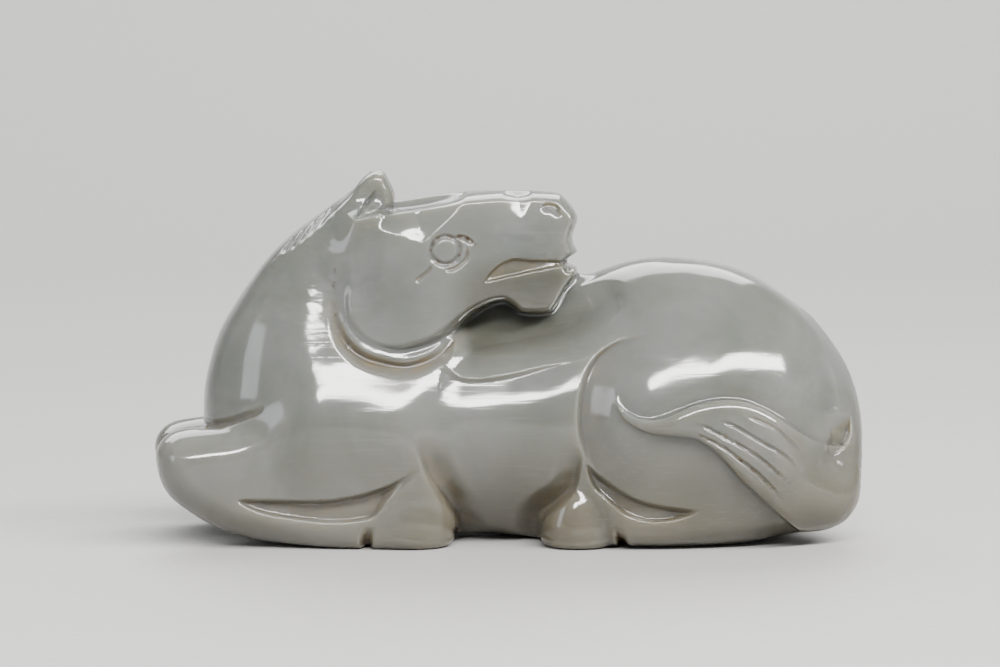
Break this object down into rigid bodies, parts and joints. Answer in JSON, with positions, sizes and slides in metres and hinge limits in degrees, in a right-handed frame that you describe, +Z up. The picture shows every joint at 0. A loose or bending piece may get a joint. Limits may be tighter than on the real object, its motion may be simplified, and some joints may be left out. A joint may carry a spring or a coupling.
{
  "type": "jade horse figure",
  "caption": "Small pale jade carving of a horse lying on folded legs, head turned back over its shoulder and tail swept over its haunch.",
  "frame": {"origin": "on the surface it rests on, under the middle of the carving's box", "axes": "+X along the back from chest to rump, +Y across towards the horse's right side, +Z up; the head is turned towards -Y"},
  "size_m": [0.0686, 0.028, 0.0352],
  "materials": {
    "jade": "polished pale greenish grey nephrite, slightly translucent, with brown staining in the cut lines"
  },
  "bodies": {
    "root": {"horse": "jade"}
  },
  "joints": []
}
